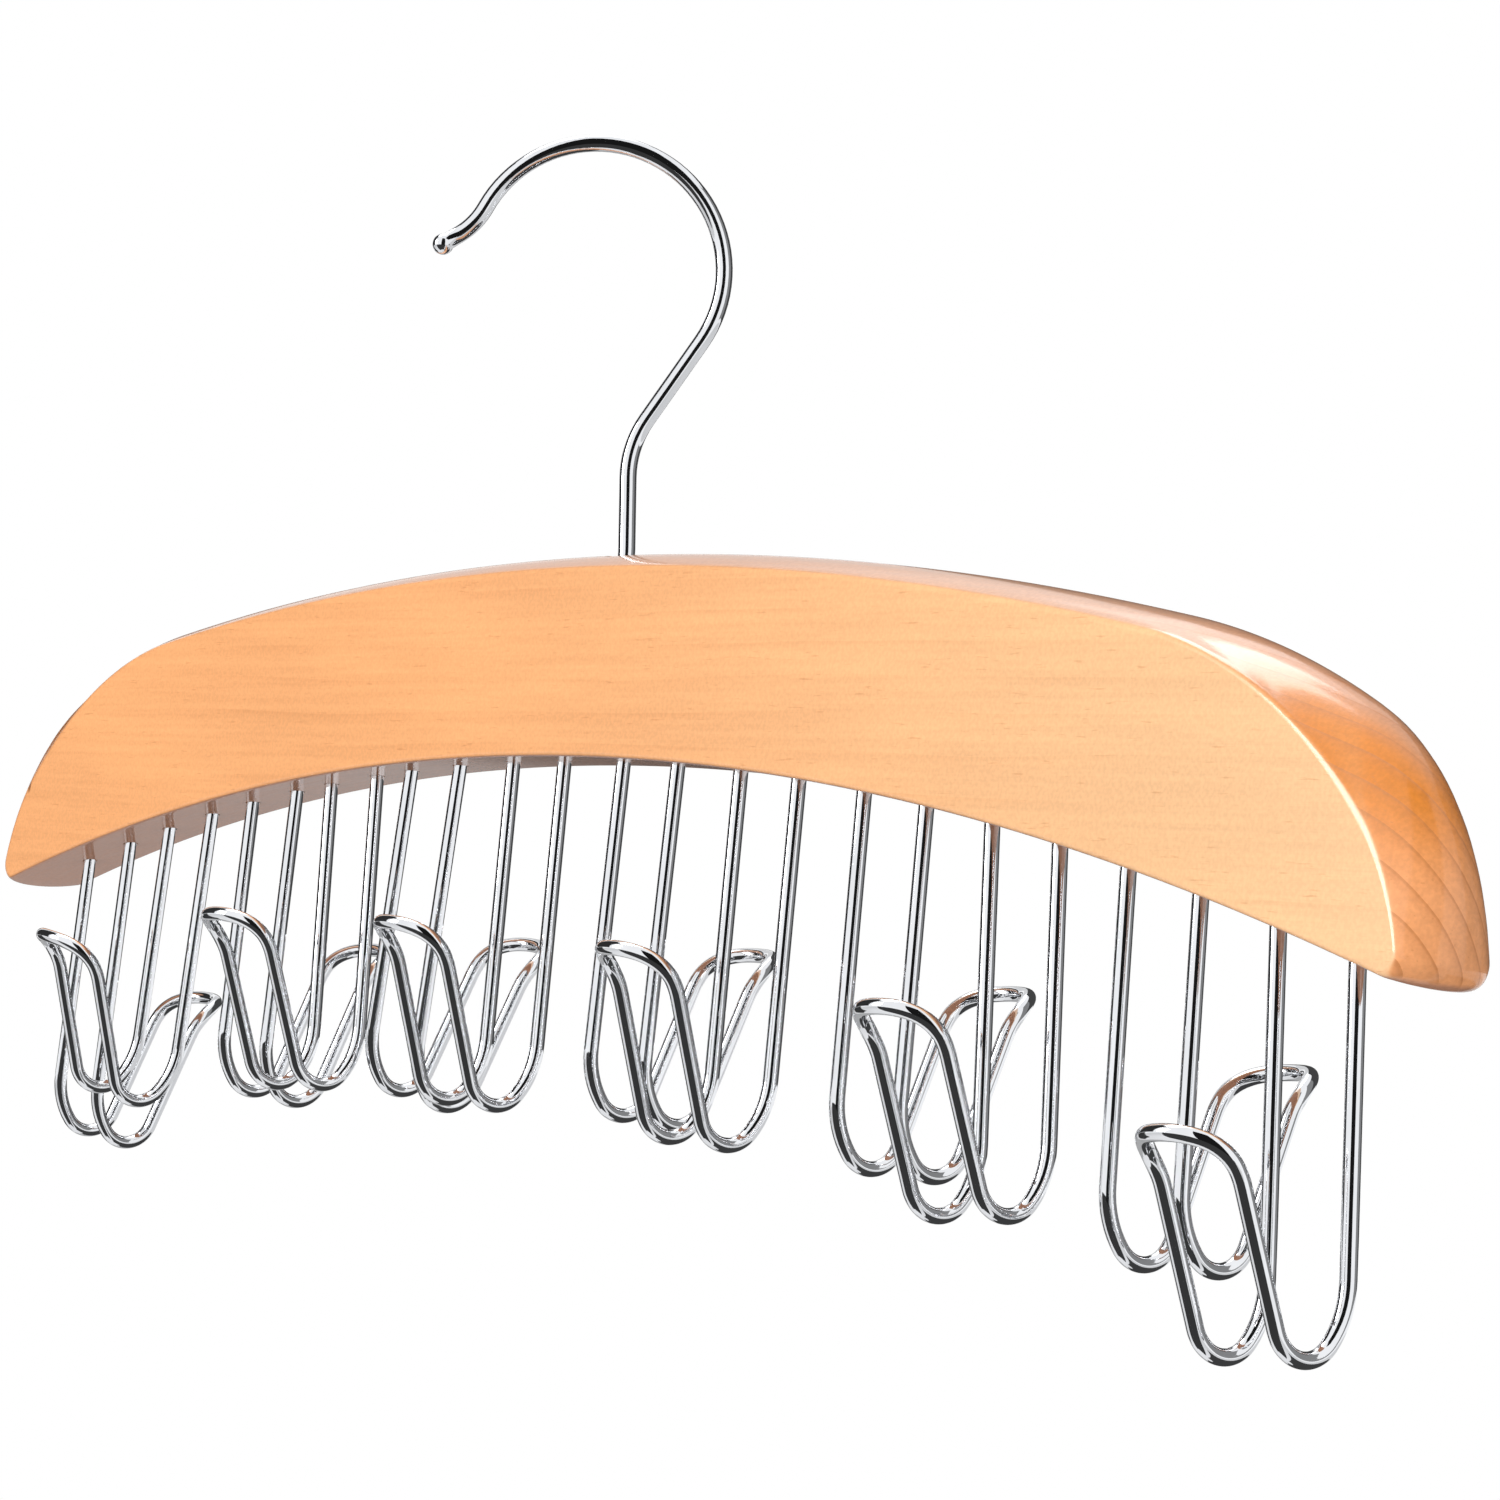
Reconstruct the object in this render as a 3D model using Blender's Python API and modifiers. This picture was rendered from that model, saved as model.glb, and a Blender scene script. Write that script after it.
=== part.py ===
"""Belt hanger: an arched wooden bar that turns on a wire hook and carries twelve wire belt hooks.

+X runs along the bar, +Y to its back and +Z up. The origin is on the axis that the bar turns about,
on the inside of the hook's ring, where a wardrobe rod carries the hanger.
"""

from math import atan2, ceil, cos, pi, radians, sin, sqrt

import bmesh
import bpy
from mathutils import Matrix, Vector

# Clearances
GAP = 0.0003  # between pieces that touch
OVERRUN = 0.002  # a cutter past the face that it opens

# Wooden bar, as its front face measures
BAR_HALF_LENGTH = 0.2034
BAR_HEIGHT = 0.0308
BAR_THICKNESS = 0.016
BAR_TOP_RADIUS = 0.918
BAR_BOTTOM_RADIUS = 0.773
SHOULDER_RADIUS = 0.083
BAR_END_RADIUS = 0.0366
END_DROP = 0.0095  # of the end's arc from the arc of the top
BAR_CORNER_RADIUS = 0.003

# Crown between the two faces: how much its outline differs from theirs
TOP_SWELL = 0.0029
END_SWELL = 0.0034
SHOULDER_FLATTENING = 0.07  # added to the shoulders' radius
END_LIFT = 0.0058  # taken off the drop of the ends

# Swivel hook
ROD_WIRE = 0.0028
RING_RADIUS = 0.0209  # to the wire's centre
RING_TURN = radians(185.6)
SHANK_LEAN = radians(4.5)  # above the wood, towards the tip
NECK_LENGTH = 0.0116
NECK_RADIUS = 0.017
NECK_TURN = radians(34)
RISE_LENGTH = 0.0156
TIP_RADIUS = 0.012
TIP_TURN = radians(29.1)
TIP_LENGTH = 0.0033
TIP_BALL = 0.0035
HOOK_FACING = radians(56)  # about +Z, from the bar's own plane

# Bush pressed into the bar's top, and the head on the hook's shank that turns below it
SHANK_CLEARANCE = 0.0003
BUSH_DIAMETER = 0.006
BUSH_LENGTH = 0.010
BUSH_CHAMFER = 0.0006
BUSH_SINK = 0.0006  # below the crest of the bar's top
HEAD_DIAMETER = 0.0046
HEAD_HEIGHT = 0.0015
HEAD_RIM = 0.0006  # straight part of the head's edge
HEAD_ROOM = 0.001  # from the head to the bore's end

# Belt hooks, each a hairpin of wire bent up to one side
LEG_WIRE = 0.0024
LEG_MARGIN = 0.0194  # from the bar's tip to the nearest leg
LEG_DEPTH = 0.015  # in the wood
LEG_LENGTH = 0.0452  # straight below the wood
HEEL_RADIUS = 0.0136
HEEL_TURN = radians(39)
TOE_RADIUS = 0.0053
TOE_TURN = radians(122)
ARM_LENGTH = 0.0190
LIP_RADIUS = 0.0103
LIP_LENGTH = 0.0108  # along the wire's bend, to the hairpin's end
FAN_LEAN = radians(4.5)  # of a hook whose share is 1
HOOK_LEAN_SHARES = (-0.9, -1.2, -0.6, 0.7, -1.3, 0, -0.4, 0, 0.1, 1.1, 0.5, 1.1)  # foot towards +X
HOOK_RISE = 0.002  # into the wood, of a hook whose share is 1
HOOK_RISE_SHARES = (0.45, 1.75, 0.7, 0.7, -0.75, -0.85, -0.85, -0.9, -0.15, -0.15, 0.75, -0.3)
HOOK_SHIFT_SHARES = (0.17, 0.17, 0.12, -0.12, -0.39, -0.3, -0.18, -0.06, 0.03, 0.06, 0.06, 0.12)
HOOK_COUNT = len(HOOK_LEAN_SHARES)
HOLE_CLEARANCE = 0.0003

# Facets
ARC_STEP = radians(12)
TOP_STEPS = 12
SHOULDER_STEPS = 6
UNDERSIDE_STEPS = 14
END_STEPS = 8
CORNER_STEPS = 3
CROWN_STEPS = 6
HOLE_SIDES = 12
ROUND_SIDES = 32
BALL_SIDES = 16
BALL_RINGS = 10

# Worked out from the sizes above
LEG_PITCH = 2 * (BAR_HALF_LENGTH - LEG_MARGIN) / (2 * HOOK_COUNT - 1)
HAIRPIN_RADIUS = LEG_PITCH / 2
BAR_TOP = BAR_HEIGHT + TOP_SWELL
BUSH_TOP = BAR_TOP - BUSH_SINK
SHANK_FOOT = BUSH_TOP - BUSH_LENGTH - GAP - HEAD_HEIGHT

# Colours, as red, green, blue and alpha
WOOD_COLOUR = (0.90, 0.52, 0.24, 1)
CHROME_COLOUR = (0.82, 0.82, 0.84, 1)
STEEL_COLOUR = (0.55, 0.55, 0.56, 1)


def clear_scene():
    for obj in list(bpy.data.objects):
        bpy.data.objects.remove(obj, do_unlink=True)


def new_collection(name):
    collection = bpy.data.collections.new(name)
    bpy.context.scene.collection.children.link(collection)
    return collection


def new_material(name, colour, metallic, roughness):
    material = bpy.data.materials.new(name)
    material.use_nodes = True
    shader = material.node_tree.nodes["Principled BSDF"]
    shader.inputs["Base Color"].default_value = colour
    shader.inputs["Metallic"].default_value = metallic
    shader.inputs["Roughness"].default_value = roughness
    return material


def add_object(name, data, collection, material=None, parent=None):
    obj = bpy.data.objects.new(name, data)
    collection.objects.link(obj)
    if material:
        data.materials.append(material)
    obj.parent = parent
    return obj


def straight(length):
    return (length, 0)


def bend(radius, turn):
    return (radius * abs(turn), turn)


def along(moves, distance):
    """The place (across, up) and the heading at a distance along a path that sets out straight up.

    Each move is a length and the angle that the path turns over it, positive towards +across.
    """
    place = Vector((0, 0))
    heading = 0
    for length, turn in moves:
        part = min(distance, length)
        if part <= 0:
            break
        swing = turn * part / length
        chord = part if swing == 0 else 2 * part / swing * sin(swing / 2)
        middle = heading + swing / 2
        place += chord * Vector((sin(middle), cos(middle)))
        heading += swing
        distance -= part
    return place, heading


def stations(moves):
    """Distances along a path that show its bends: the ends of each straight, even steps on each arc."""
    found = [0]
    for length, turn in moves:
        steps = max(1, ceil(abs(turn) / ARC_STEP))
        start = found[-1]
        found += [start + length * step / steps for step in range(1, steps + 1)]
    return found


def path_length(moves):
    return sum(length for length, _ in moves)


def wire_curve(name, points, diameter):
    """A round wire through the points, with its ends closed."""
    curve = bpy.data.curves.new(name, "CURVE")
    curve.dimensions = "3D"
    curve.bevel_depth = diameter / 2
    curve.bevel_resolution = 2
    curve.use_fill_caps = True
    spline = curve.splines.new("POLY")
    spline.points.add(len(points) - 1)
    for spot, point in zip(spline.points, points):
        spot.co = (*point, 1)
    return curve


def mesh_of_curve(obj, collection):
    """A mesh object in place of a curve object, with the caps welded to the sides."""
    graph = bpy.context.evaluated_depsgraph_get()
    mesh = bpy.data.meshes.new_from_object(obj.evaluated_get(graph))
    solid = bmesh.new()
    solid.from_mesh(mesh)
    bmesh.ops.remove_doubles(solid, verts=solid.verts, dist=GAP / 100)
    solid.to_mesh(mesh)
    solid.free()
    name = obj.name
    made = bpy.data.objects.new(name, mesh)
    made.matrix_world = obj.matrix_world
    collection.objects.link(made)
    bpy.data.objects.remove(obj, do_unlink=True)
    made.name = name
    return made


def turned(name, profile, collection, material=None):
    """A solid turned about +Z from a profile of (radius, height) points, listed down its outer side."""
    mesh = bpy.data.meshes.new(name)
    outline = bmesh.new()
    spots = [outline.verts.new((radius, 0, height)) for radius, height in profile]
    for first, second in zip(spots, spots[1:]):
        outline.edges.new((first, second))
    if profile[0][0] > 0:
        outline.edges.new((spots[-1], spots[0]))
    outline.to_mesh(mesh)
    outline.free()
    obj = add_object(name, mesh, collection, material)
    screw = obj.modifiers.new("turn", "SCREW")
    screw.steps = screw.render_steps = ROUND_SIDES
    screw.use_merge_vertices = True
    screw.merge_threshold = GAP / 10
    return obj


def as_cutter(obj):
    obj.hide_render = True
    obj.display_type = "WIRE"


def add_boolean(obj, operation, other):
    cut = obj.modifiers.new(operation.lower(), "BOOLEAN")
    cut.operation = operation
    cut.object = other


def crossing(first, first_radius, second, second_radius):
    """Where two circles in the X-Z plane meet, on the left of the way from the first to the second."""
    apart = second - first
    reach = (apart.length_squared + first_radius**2 - second_radius**2) / (2 * apart.length)
    rise = sqrt(first_radius**2 - reach**2)
    unit = apart.normalized()
    return first + reach * unit + rise * Vector((-unit.y, unit.x))


def arc_points(centre, radius, start, end, steps):
    """Points from start to end on a circle's arc, the shorter way round, without the last one."""
    begin = atan2(start.y - centre.y, start.x - centre.x)
    swing = atan2(end.y - centre.y, end.x - centre.x) - begin
    swing = (swing + pi) % (2 * pi) - pi
    turns = [begin + swing * step / steps for step in range(steps)]
    return [centre + radius * Vector((cos(turn), sin(turn))) for turn in turns]


def bar_outline(share):
    """The bar's outline in X and Z where the crown has a share of its full swell, from the middle of its
    top clockwise. The origin is the middle of its underside.
    """
    height = BAR_HEIGHT + share * TOP_SWELL
    shoulder_radius = SHOULDER_RADIUS + share * SHOULDER_FLATTENING
    top_centre = Vector((0, height - BAR_TOP_RADIUS))
    end_x = BAR_HALF_LENGTH + share * END_SWELL - BAR_END_RADIUS
    reach = BAR_TOP_RADIUS - BAR_END_RADIUS - END_DROP + share * END_LIFT
    end_centre = top_centre + Vector((end_x, sqrt(reach**2 - end_x**2)))
    shoulder_centre = crossing(
        top_centre, BAR_TOP_RADIUS - shoulder_radius, end_centre, shoulder_radius - BAR_END_RADIUS
    )
    low_centre = Vector((0, -BAR_BOTTOM_RADIUS))
    corner = crossing(
        end_centre, BAR_END_RADIUS - BAR_CORNER_RADIUS, low_centre, BAR_BOTTOM_RADIUS + BAR_CORNER_RADIUS
    )
    crest = Vector((0, height))
    top_end = top_centre + BAR_TOP_RADIUS * (shoulder_centre - top_centre).normalized()
    end_top = shoulder_centre + shoulder_radius * (end_centre - shoulder_centre).normalized()
    corner_top = end_centre + BAR_END_RADIUS * (corner - end_centre).normalized()
    corner_foot = low_centre + BAR_BOTTOM_RADIUS * (corner - low_centre).normalized()
    foot = Vector((0, 0))
    right = arc_points(top_centre, BAR_TOP_RADIUS, crest, top_end, TOP_STEPS)
    right += arc_points(shoulder_centre, shoulder_radius, top_end, end_top, SHOULDER_STEPS)
    right += arc_points(end_centre, BAR_END_RADIUS, end_top, corner_top, END_STEPS)
    right += arc_points(corner, BAR_CORNER_RADIUS, corner_top, corner_foot, CORNER_STEPS)
    right += arc_points(low_centre, BAR_BOTTOM_RADIUS, corner_foot, foot, UNDERSIDE_STEPS)
    left = [Vector((-place.x, place.y)) for place in reversed(right[1:])]
    return [*right, foot, *left]


def swell_share(depth):
    """The share of the full swell at a depth from the bar's middle plane."""
    return 1 - (2 * depth / BAR_THICKNESS) ** 2


def add_bar(collection, cutters, material, parent):
    """The bar as a loft through outlines that swell towards its middle plane, with all its holes cut."""
    solid = bmesh.new()
    loops = []
    for step in range(CROWN_STEPS + 1):
        depth = BAR_THICKNESS * (step / CROWN_STEPS - 1 / 2)
        verts = [solid.verts.new((place.x, depth, place.y)) for place in bar_outline(swell_share(depth))]
        pairs = zip(verts, verts[1:] + verts[:1])
        loops.append([solid.edges.new(pair) for pair in pairs])
    for near, far in zip(loops, loops[1:]):
        bmesh.ops.bridge_loops(solid, edges=near + far)
    for face in (loops[0], loops[-1]):
        bmesh.ops.triangle_fill(solid, edges=face, use_beauty=True)
    bmesh.ops.recalc_face_normals(solid, faces=solid.faces)
    mesh = bpy.data.meshes.new("wooden_bar")
    solid.to_mesh(mesh)
    solid.free()
    bar = add_object("wooden_bar", mesh, collection, material, parent)
    cut = bar.modifiers.new("holes", "BOOLEAN")
    cut.operation = "DIFFERENCE"
    cut.operand_type = "COLLECTION"
    cut.collection = cutters
    return bar


def add_bush_bore(cutters, parent):
    """The blind bore in the bar's top for the bush, with room below it for the shank's head."""
    radius = BUSH_DIAMETER / 2 + GAP
    end = SHANK_FOOT - HEAD_ROOM
    mouth = BAR_TOP + OVERRUN
    cutter = turned("bush_bore", [(0, mouth), (radius, mouth), (radius, end), (0, end)], cutters)
    cutter.parent = parent
    as_cutter(cutter)


def add_swivel_bush(collection, material, parent):
    inner = ROD_WIRE / 2 + SHANK_CLEARANCE
    outer = BUSH_DIAMETER / 2
    foot = BUSH_TOP - BUSH_LENGTH
    profile = [
        (outer, BUSH_TOP),
        (outer, foot + BUSH_CHAMFER),
        (outer - BUSH_CHAMFER, foot),
        (inner, foot),
        (inner, BUSH_TOP),
    ]
    bush = turned("swivel_bush", profile, collection, material)
    bush.parent = parent


def swivel_moves():
    """The swivel hook's wire, from the foot of its head to the middle of the ball at its tip."""
    return [
        straight(BAR_TOP - SHANK_FOOT),
        bend(NECK_RADIUS, -SHANK_LEAN),
        straight(NECK_LENGTH),
        bend(NECK_RADIUS, NECK_TURN),
        straight(RISE_LENGTH),
        bend(RING_RADIUS, -RING_TURN),
        bend(TIP_RADIUS, TIP_TURN),
        straight(TIP_LENGTH),
    ]


def seat_height():
    """The height of the ring's inner side over the shank, above the bar's top."""
    moves = swivel_moves()
    start, heading = along(moves, path_length(moves[:5]))
    centre = start - RING_RADIUS * Vector((cos(heading), -sin(heading)))
    inner = RING_RADIUS - ROD_WIRE / 2
    return centre.y + sqrt(inner**2 - centre.x**2) - moves[0][0]


def add_swivel_hook(collection, cutters, material, parent):
    """The hook's wire with a ball at its tip and a head at its foot, turned to its place at rest."""
    moves = swivel_moves()
    places = [along(moves, distance)[0] for distance in stations(moves)]
    curve = wire_curve("swivel_hook", [(place.x, 0, place.y) for place in places], ROD_WIRE)
    hook = mesh_of_curve(add_object("swivel_hook", curve, collection), collection)
    hook.data.materials.append(material)
    hook.location.z = SHANK_FOOT
    hook.rotation_euler.z = HOOK_FACING
    hook.parent = parent

    ball_mesh = bpy.data.meshes.new("tip_ball")
    ball_solid = bmesh.new()
    bmesh.ops.create_uvsphere(
        ball_solid, u_segments=BALL_SIDES, v_segments=BALL_RINGS, radius=TIP_BALL / 2
    )
    ball_solid.to_mesh(ball_mesh)
    ball_solid.free()
    ball = add_object("tip_ball", ball_mesh, cutters, parent=hook)
    ball.location = (places[-1].x, 0, places[-1].y)

    rim = HEAD_DIAMETER / 2
    face = rim - HEAD_HEIGHT + HEAD_RIM
    profile = [(0, HEAD_HEIGHT), (rim, HEAD_HEIGHT), (rim, HEAD_HEIGHT - HEAD_RIM), (face, 0), (0, 0)]
    head = turned("shank_head", profile, cutters)
    head.parent = hook
    for other in (ball, head):
        as_cutter(other)
        add_boolean(hook, "UNION", other)
    return hook


def hairpin_moves():
    """One leg and arm of a belt hook: down from the wood, round the bend and up to the hairpin's end."""
    return [
        straight(LEG_DEPTH - GAP + LEG_LENGTH),
        bend(HEEL_RADIUS, HEEL_TURN),
        bend(TOE_RADIUS, TOE_TURN),
        straight(ARM_LENGTH),
        (LIP_LENGTH, -LIP_LENGTH / LIP_RADIUS),
    ]


def hairpin_points():
    """A flat hairpin laid over the bend, legs along -Z and arms to +Y, from one leg's top round."""
    moves = hairpin_moves()
    turn_start = path_length(moves) - HAIRPIN_RADIUS

    def at(across, distance):
        place, _ = along(moves, distance)
        return Vector((across, place.x, LEG_DEPTH - GAP - place.y))

    run = [distance for distance in stations(moves) if distance < turn_start]
    steps = ceil(pi / ARC_STEP)
    turns = [pi * step / steps for step in range(steps + 1)]
    points = [at(-HAIRPIN_RADIUS, distance) for distance in run]
    points += [at(-HAIRPIN_RADIUS * cos(turn), turn_start + HAIRPIN_RADIUS * sin(turn)) for turn in turns]
    points += [at(HAIRPIN_RADIUS, distance) for distance in reversed(run)]
    return points


def hook_places():
    """Where each belt hook stands under the bar, from -X to +X: back hooks and front hooks by turns.

    Their places stray from an even spacing by shares of the pitch. Their leans and depths in the wood
    differ as well.
    """
    shares = zip(HOOK_LEAN_SHARES, HOOK_SHIFT_SHARES, HOOK_RISE_SHARES)
    for number, (lean, shift, raised) in enumerate(shares):
        across = (2 * number - HOOK_COUNT + 1 + shift) * LEG_PITCH
        rise = sqrt(BAR_BOTTOM_RADIUS**2 - across**2) - BAR_BOTTOM_RADIUS + HOOK_RISE * raised
        tilt = Matrix.Rotation(-FAN_LEAN * lean, 4, "Y")
        side = "front" if number % 2 else "back"
        facing = Matrix.Rotation(pi if number % 2 else 0, 4, "Z")
        yield f"{number + 1:02d}_{side}", Matrix.Translation((across, 0, rise)) @ tilt @ facing


def add_leg_holes(name, place, cutters, parent):
    """The two blind holes of one belt hook, cut from well below the slope of the underside."""
    mesh = bpy.data.meshes.new(f"leg_hole_{name}")
    holes = bmesh.new()
    length = LEG_DEPTH + LEG_PITCH
    radius = LEG_WIRE / 2 + HOLE_CLEARANCE
    for side in (-1, 1):
        bmesh.ops.create_cone(
            holes,
            cap_ends=True,
            segments=HOLE_SIDES,
            radius1=radius,
            radius2=radius,
            depth=length,
            matrix=Matrix.Translation((side * HAIRPIN_RADIUS, 0, LEG_DEPTH - length / 2)),
        )
    holes.to_mesh(mesh)
    holes.free()
    cutter = add_object(f"leg_hole_{name}", mesh, cutters, parent=parent)
    cutter.matrix_local = place
    as_cutter(cutter)


def add_belt_hooks(collection, cutters, material, parent):
    curve = wire_curve("belt_hook", hairpin_points(), LEG_WIRE)
    curve.materials.append(material)
    for name, place in hook_places():
        hook = add_object(f"belt_hook_{name}", curve, collection, parent=parent)
        hook.matrix_local = place
        add_leg_holes(name, place, cutters, parent)


def shade_rounds_smooth(collection):
    for obj in collection.objects:
        if obj.type == "MESH":
            obj.data.shade_smooth()
            obj.data.set_sharp_from_angle(angle=radians(30))


def main():
    clear_scene()
    parts = new_collection("belt_hanger")
    bar_cutters = new_collection("bar_cutters")
    hook_joins = new_collection("hook_joins")
    wood = new_material("varnished_wood", WOOD_COLOUR, 0, 0.25)
    chrome = new_material("chromed_wire", CHROME_COLOUR, 1, 0.08)
    steel = new_material("turned_steel", STEEL_COLOUR, 1, 0.35)

    bar_middle = add_object("bar_middle", None, parts)
    bar_middle.location.z = -seat_height() - BAR_TOP
    add_bush_bore(bar_cutters, bar_middle)
    add_belt_hooks(parts, bar_cutters, chrome, bar_middle)
    add_bar(parts, bar_cutters, wood, bar_middle)
    add_swivel_bush(parts, steel, bar_middle)
    add_swivel_hook(parts, hook_joins, chrome, bar_middle)
    shade_rounds_smooth(parts)


main()
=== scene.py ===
"""Looks of a belt hanger: its varnished bar, its chromed wires and the studio that they are shown in.

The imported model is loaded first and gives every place. Lengths are in metres, +X along the bar, +Y
towards its back and +Z up. Sizes and colours are properties in the sidebar.
"""

from math import asin, atan2, ceil, cos, pi, radians, sin, sqrt

import bmesh
import bpy
from bpy.props import FloatProperty, FloatVectorProperty, IntProperty, PointerProperty
from bpy.types import Operator, Panel, PropertyGroup
from mathutils import Matrix, Vector


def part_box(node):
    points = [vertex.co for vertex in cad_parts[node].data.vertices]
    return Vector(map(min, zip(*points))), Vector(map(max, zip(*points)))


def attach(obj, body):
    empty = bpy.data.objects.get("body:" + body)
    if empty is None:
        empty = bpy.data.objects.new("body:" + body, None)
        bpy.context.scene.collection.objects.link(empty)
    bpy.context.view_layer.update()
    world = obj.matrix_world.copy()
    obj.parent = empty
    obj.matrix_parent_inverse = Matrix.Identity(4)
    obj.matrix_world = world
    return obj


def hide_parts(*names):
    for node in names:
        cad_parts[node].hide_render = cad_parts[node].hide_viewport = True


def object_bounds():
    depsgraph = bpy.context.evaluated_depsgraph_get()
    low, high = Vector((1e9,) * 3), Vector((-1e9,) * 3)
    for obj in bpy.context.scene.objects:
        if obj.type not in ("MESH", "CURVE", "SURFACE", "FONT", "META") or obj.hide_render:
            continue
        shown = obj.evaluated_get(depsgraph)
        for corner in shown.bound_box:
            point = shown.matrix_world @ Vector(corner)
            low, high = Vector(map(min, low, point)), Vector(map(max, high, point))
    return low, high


bl_info = {
    "name": "Belt hanger",
    "version": (1, 0, 0),
    "blender": (4, 5, 0),
    "location": "3D View > Sidebar > Belt hanger",
    "description": "Dresses the packed belt hanger with varnished wood and chromed wire",
    "category": "Add Mesh",
}

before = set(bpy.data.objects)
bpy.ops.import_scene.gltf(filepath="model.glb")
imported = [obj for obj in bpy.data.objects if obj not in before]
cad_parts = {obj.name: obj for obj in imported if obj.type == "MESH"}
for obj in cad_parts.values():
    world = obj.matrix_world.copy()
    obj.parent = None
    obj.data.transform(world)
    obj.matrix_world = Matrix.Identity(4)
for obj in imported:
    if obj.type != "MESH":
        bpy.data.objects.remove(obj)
CAD_LOW, CAD_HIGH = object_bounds()
BAR_LOW, BAR_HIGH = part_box("wooden_bar")
SHANK_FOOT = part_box("swivel_hook")[0].z
BELT_HOOKS = sorted(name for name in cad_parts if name.startswith("belt_hook"))

Y_AXIS = Vector((0, 1, 0))
Z_AXIS = Vector((0, 0, 1))
SAME_PLACE = 1e-6
PLACE_DIGITS = 6
CREASE_ANGLE = radians(40)
WHITE = (1, 1, 1)


# Sizes, colours and settings

def length_property(name, default, description):
    return FloatProperty(
        name=name, default=default, description=description, subtype="DISTANCE", unit="LENGTH", precision=5
    )


def angle_property(name, degrees, description):
    return FloatProperty(name=name, default=radians(degrees), description=description, subtype="ANGLE")


def share_property(name, default, description):
    return FloatProperty(name=name, default=default, description=description, subtype="FACTOR", min=0, max=1)


def colour_property(name, default, description):
    return FloatVectorProperty(
        name=name, default=default, description=description, subtype="COLOR", size=3, min=0, max=1
    )


def count_property(name, default, description):
    return IntProperty(name=name, default=default, description=description, min=1)


def group_property(group, name, description):
    return PointerProperty(type=group, name=name, description=description)


class BarSizes(PropertyGroup):
    half_length: length_property("Half length", 0.20335, "Half of the front face's length")
    height: length_property("Height", 0.0308, "Height of the front face at its middle")
    thickness: length_property("Thickness", 0.016, "From the front face to the back")
    top_radius: length_property("Top radius", 0.918, "Arch of the top edge")
    underside_radius: length_property("Underside radius", 0.773, "Arch of the underside")
    shoulder_radius: length_property("Shoulder radius", 0.083, "Arch between the top and the ends")
    end_radius: length_property("End radius", 0.0366, "Rounding of both ends")
    end_drop: length_property("End drop", 0.0095, "Of the end's arc from the arc of the top")
    corner_radius: length_property("Corner radius", 0.003, "Rounding of the two lower corners")
    top_swell: length_property("Top swell", 0.0029, "Crown's rise above the faces' top")
    end_swell: length_property("End swell", 0.0034, "Crown's reach past the faces' ends")
    shoulder_flattening: length_property("Flattening", 0.07, "Added to the shoulders at the crown")
    end_lift: length_property("End lift", 0.0058, "Taken off the drop of the ends at the crown")
    arris_radius: length_property("Arris", 0.0007, "Softening of the edges of both faces")
    hole_radius: length_property("Leg hole radius", 0.00138, "Holes that the wire legs stand in")
    bush_hole_radius: length_property("Bush hole radius", 0.0033, "Hole of the swivel bush in the top")
    hole_depth: length_property("Hole depth", 0.014, "How far the wood is opened round the wires")
    top_steps: count_property("Top steps", 48, "Facets of half the top")
    shoulder_steps: count_property("Shoulder steps", 24, "Facets of a shoulder")
    end_steps: count_property("End steps", 20, "Facets of one end")
    corner_steps: count_property("Corner steps", 12, "Facets of a lower corner")
    crown_steps: count_property("Crown steps", 16, "Facets across the crown")
    arris_steps: count_property("Arris steps", 4, "Facets of a softened edge")


class SwivelHookSizes(PropertyGroup):
    wire: length_property("Wire", 0.0028, "Diameter of the hook's wire")
    ring_radius: length_property("Ring radius", 0.0209, "To the middle of the wire")
    ring_turn: angle_property("Ring turn", 185.6, "How far the ring goes round")
    shank_lean: angle_property("Shank lean", 4.5, "Set of the wire above the wood, towards the tip")
    neck_length: length_property("Neck length", 0.0116, "Straight part above the wood")
    neck_radius: length_property("Neck radius", 0.017, "Bend of the neck")
    neck_turn: angle_property("Neck turn", 34, "How far the neck bends out")
    rise_length: length_property("Rise length", 0.01557, "Straight part below the ring")
    tip_radius: length_property("Tip radius", 0.012, "Bend before the tip")
    tip_turn: angle_property("Tip turn", 29.1, "How far the tip turns out")
    tip_length: length_property("Tip length", 0.00325, "Straight part to the middle of the tip's ball")
    tip_ball: length_property("Tip ball", 0.00348, "Diameter of the rounded tip")
    facing: angle_property("Facing", 56, "The ring's plane about the shank, from the bar's own plane")
    head: length_property("Head", 0.0046, "Diameter of the head on the shank's foot")
    head_height: length_property("Head height", 0.0015, "Height of that head")
    head_rim: length_property("Head rim", 0.0006, "Straight part of the head's edge")
    sides: count_property("Sides", 32, "Facets round the wire")
    bend_step: angle_property("Bend step", 4, "Turn of one facet along a bend")
    tip_steps: count_property("Tip steps", 12, "Facets of the ball from the wire to its pole")


class BeltHookSizes(PropertyGroup):
    wire: length_property("Wire", 0.0024, "Diameter of the wire")
    leg_in_wood: length_property("Leg in the wood", 0.0147, "Part of each leg inside the bar")
    leg_length: length_property("Leg length", 0.04517, "Straight part of each leg below the wood")
    heel_radius: length_property("Heel radius", 0.0136, "First bend of the foot")
    heel_turn: angle_property("Heel turn", 39, "How far the first bend goes")
    toe_radius: length_property("Toe radius", 0.0053, "Second bend of the foot")
    toe_turn: angle_property("Toe turn", 122, "How far the second bend goes")
    arm_length: length_property("Arm length", 0.0190, "Straight part of each arm")
    lip_radius: length_property("Lip radius", 0.0103, "Bend that turns the hairpin's end over")
    lip_length: length_property("Lip length", 0.0107, "Length of that bend along the wire")
    sides: count_property("Sides", 24, "Facets round the wire")
    bend_step: angle_property("Bend step", 5, "Turn of one facet along a bend")


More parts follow.
